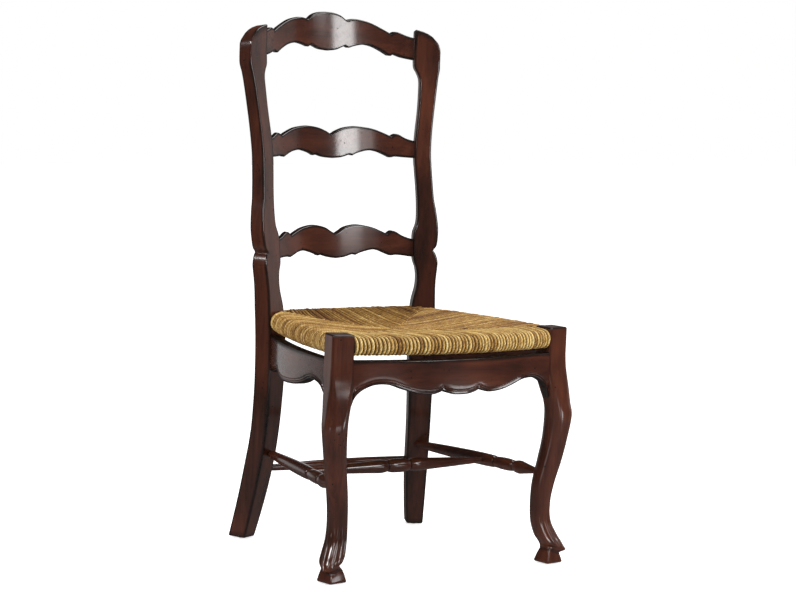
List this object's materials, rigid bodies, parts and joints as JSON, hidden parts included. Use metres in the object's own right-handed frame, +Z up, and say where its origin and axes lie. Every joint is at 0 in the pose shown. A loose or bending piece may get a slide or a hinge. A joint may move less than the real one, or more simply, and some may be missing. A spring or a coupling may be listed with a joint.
{
  "type": "ladderback side chair",
  "caption": "Armless ladderback chair with scalloped slats, cabriole front legs, shaped aprons, turned stretchers and a woven rush seat.",
  "frame": {"origin": "on the floor, under the middle of the chair's bounding box", "axes": "+Z up, the sitter faces -Y, +X toward the right in a view from the front"},
  "size_m": [0.5814, 0.6122, 1.116],
  "materials": {
    "frame_wood": "semi-gloss brown stain with rubbed dark edges",
    "rail_wood": "unfinished hardwood, hidden in the rush",
    "rush": "twisted rush cord, golden straw",
    "glide_steel": "dull nickel-plated nail glide"
  },
  "bodies": {
    "root": {"rear_post_left": "frame_wood", "rear_post_right": "frame_wood", "crest_slat": "frame_wood", "middle_slat": "frame_wood", "lower_slat": "frame_wood", "front_leg_left": "frame_wood", "front_leg_right": "frame_wood", "front_apron": "frame_wood", "side_apron_left": "frame_wood", "side_apron_right": "frame_wood", "front_seat_rail": "rail_wood", "rear_seat_rail": "rail_wood", "side_seat_rail_left": "rail_wood", "side_seat_rail_right": "rail_wood", "rush_seat": "rush", "side_stretcher_left": "frame_wood", "side_stretcher_right": "frame_wood", "cross_stretcher": "frame_wood", "rear_stretcher": "frame_wood", "glide_front_left": "glide_steel", "glide_front_right": "glide_steel", "glide_rear_left": "glide_steel", "glide_rear_right": "glide_steel"}
  },
  "joints": []
}
